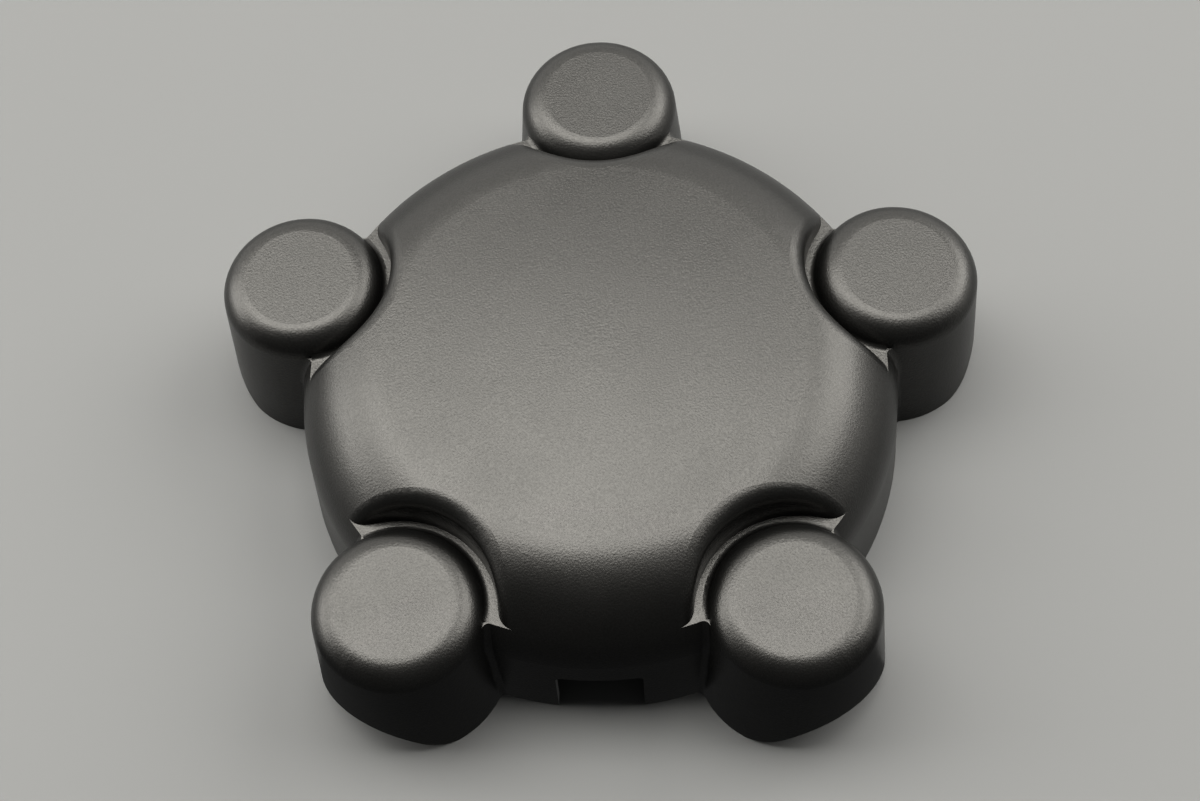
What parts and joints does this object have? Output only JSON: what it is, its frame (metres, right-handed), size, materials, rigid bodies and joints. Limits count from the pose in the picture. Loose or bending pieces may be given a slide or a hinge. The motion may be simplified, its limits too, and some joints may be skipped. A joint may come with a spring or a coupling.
{
  "type": "wheel centre cap",
  "caption": "Moulded plastic wheel centre cap: a domed round crown ringed by flat-topped towers that push over the wheel nuts, hollow below, with a lever notch in its rim.",
  "frame": {"origin": "on the cap's axis, in the plane of the rim that lies against the wheel", "axes": "+Z out of the wheel along the cap's axis, +Y towards the tower opposite the lever notch"},
  "size_m": [0.1482, 0.1428, 0.0361],
  "materials": {
    "shell": "satin, fine moulded grain"
  },
  "bodies": {
    "root": {"centre_cap": "shell"}
  },
  "joints": []
}
